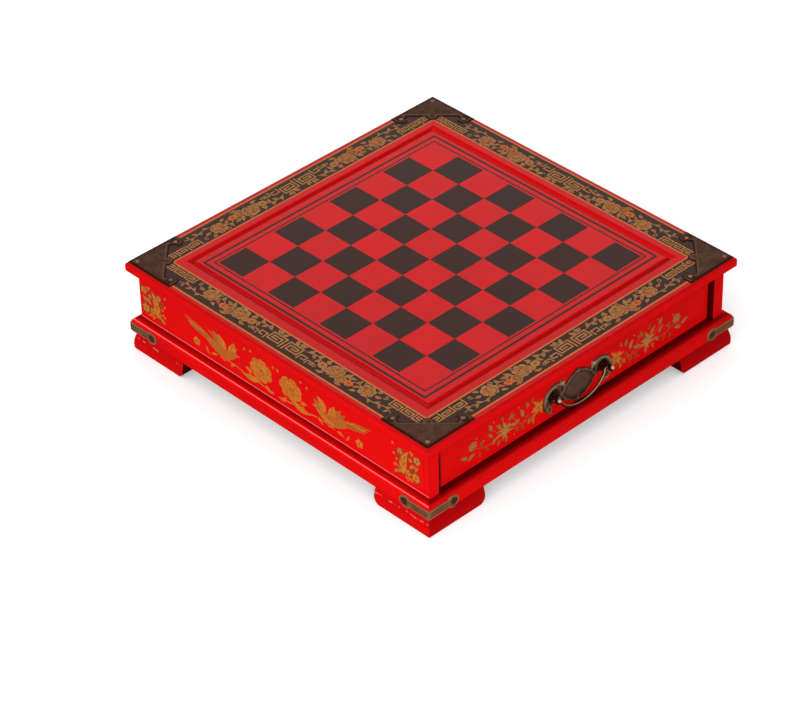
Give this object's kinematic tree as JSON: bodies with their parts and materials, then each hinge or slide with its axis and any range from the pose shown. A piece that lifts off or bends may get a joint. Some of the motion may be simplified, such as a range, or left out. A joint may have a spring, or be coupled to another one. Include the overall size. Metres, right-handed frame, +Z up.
{
  "type": "chess box",
  "caption": "Low square lacquered chess box: a framed checkered board over a cavity with opposed drawers, bail handles, corner brackets, a moulded plinth and bracket feet",
  "frame": {"origin": "on the floor, at the centre of the footprint", "axes": "X along the drawer faces, -Y out of the front drawer, +Y out of the back drawer, +Z up"},
  "size_m": [0.2608, 0.2608, 0.066],
  "materials": {
    "red_lacquer": "bright red lacquer with gilt ornament",
    "board_lacquer": "lacquered squares, brown-black and red",
    "bare_wood": "planed, unfinished",
    "bronze": "stamped sheet and wire, aged to brown",
    "felt": "short nap felt"
  },
  "bodies": {
    "box": {"top_rail_front": "red_lacquer", "top_rail_back": "red_lacquer", "top_rail_left": "red_lacquer", "top_rail_right": "red_lacquer", "board_panel": "board_lacquer", "panel_batten": "bare_wood", "bracket_fl": "bronze", "bracket_fr": "bronze", "bracket_bl": "bronze", "bracket_br": "bronze", "bracket_nails": "bronze", "side_left": "red_lacquer", "side_right": "red_lacquer", "stile_fl": "red_lacquer", "stile_fr": "red_lacquer", "stile_bl": "red_lacquer", "stile_br": "red_lacquer", "divider": "bare_wood", "bottom_board": "bare_wood", "plinth_front": "red_lacquer", "plinth_back": "red_lacquer", "plinth_left": "red_lacquer", "plinth_right": "red_lacquer", "foot_fl_front": "red_lacquer", "foot_fl_left": "red_lacquer", "foot_fr_front": "red_lacquer", "foot_fr_right": "red_lacquer", "foot_bl_back": "red_lacquer", "foot_bl_left": "red_lacquer", "foot_br_back": "red_lacquer", "foot_br_right": "red_lacquer", "glue_blocks": "bare_wood", "strap_fl": "bronze", "strap_fr": "bronze", "strap_bl": "bronze", "strap_br": "bronze", "strap_nails": "bronze"},
    "front_drawer": {"front_drawer_face": "red_lacquer", "front_drawer_left": "bare_wood", "front_drawer_right": "bare_wood", "front_drawer_back": "bare_wood", "front_drawer_tray": "bare_wood", "front_drawer_felt": "felt", "front_handle_plate": "bronze", "front_handle_posts": "bronze", "front_handle_washers": "bronze", "front_handle_pins": "bronze"},
    "front_bail": {"front_bail": "bronze"},
    "back_drawer": {"back_drawer_face": "red_lacquer", "back_drawer_left": "bare_wood", "back_drawer_right": "bare_wood", "back_drawer_back": "bare_wood", "back_drawer_tray": "bare_wood", "back_drawer_felt": "felt", "back_handle_plate": "bronze", "back_handle_posts": "bronze", "back_handle_washers": "bronze", "back_handle_pins": "bronze"},
    "back_bail": {"back_bail": "bronze"}
  },
  "joints": [
    {"name": "front_drawer_slide", "type": "slide", "parent": "box", "child": "front_drawer", "axis": [0, -1, 0], "range_m": [0, 0.095]},
    {"name": "back_drawer_slide", "type": "slide", "parent": "box", "child": "back_drawer", "axis": [0, 1, 0], "range_m": [0, 0.095]},
    {"name": "front_bail_hinge", "type": "hinge", "parent": "front_drawer", "child": "front_bail", "pos_m": [0, -0.1256, 0.0388], "axis": [-1, 0, 0], "range_deg": [-8, 188]},
    {"name": "back_bail_hinge", "type": "hinge", "parent": "back_drawer", "child": "back_bail", "pos_m": [0, 0.1256, 0.0388], "axis": [1, 0, 0], "range_deg": [-8, 188]}
  ]
}
